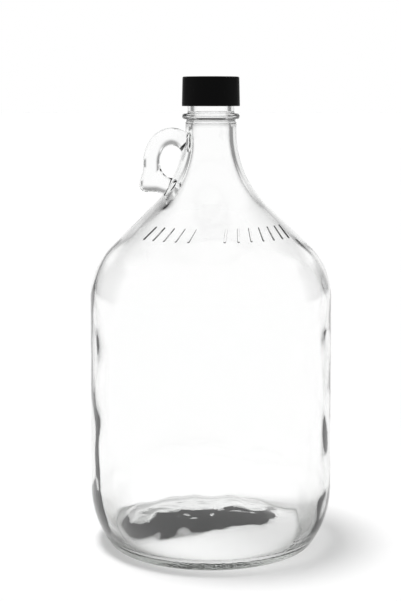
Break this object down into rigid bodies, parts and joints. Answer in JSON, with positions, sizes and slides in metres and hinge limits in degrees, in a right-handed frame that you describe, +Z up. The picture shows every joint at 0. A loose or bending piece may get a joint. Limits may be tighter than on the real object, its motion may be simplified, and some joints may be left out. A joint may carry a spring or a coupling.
{
  "type": "glass jug",
  "caption": "Round clear glass jug with a finger ring at its narrow neck, a neck ring, a push-up base and a black screw cap.",
  "frame": {"origin": "middle of the ring that the jug stands on, on its own axis", "axes": "+Z up along the jug's axis, the finger ring on the -X side in the XZ plane"},
  "size_m": [0.164, 0.164, 0.3161],
  "materials": {
    "clear_glass": "clear blown glass, fire polished",
    "black_cap": "moulded, low sheen",
    "liner": "soft foam disc"
  },
  "bodies": {
    "jug": {"jug": "clear_glass"},
    "liner": {"liner": "liner"},
    "cap": {"cap": "black_cap"}
  },
  "joints": [
    {"name": "cap_lift", "type": "slide", "parent": "jug", "child": "liner", "axis": [0, 0, 1], "range_m": [0, 0.00639]},
    {"name": "cap_turn", "type": "hinge", "parent": "liner", "child": "cap", "pos_m": [0, 0, 0.305], "axis": [0, 0, 1], "range_deg": [0, 540]}
  ],
  "couplings": [
    {"joint": "cap_lift", "follows": "cap_turn", "m_per_rad": 0.00067323}
  ]
}
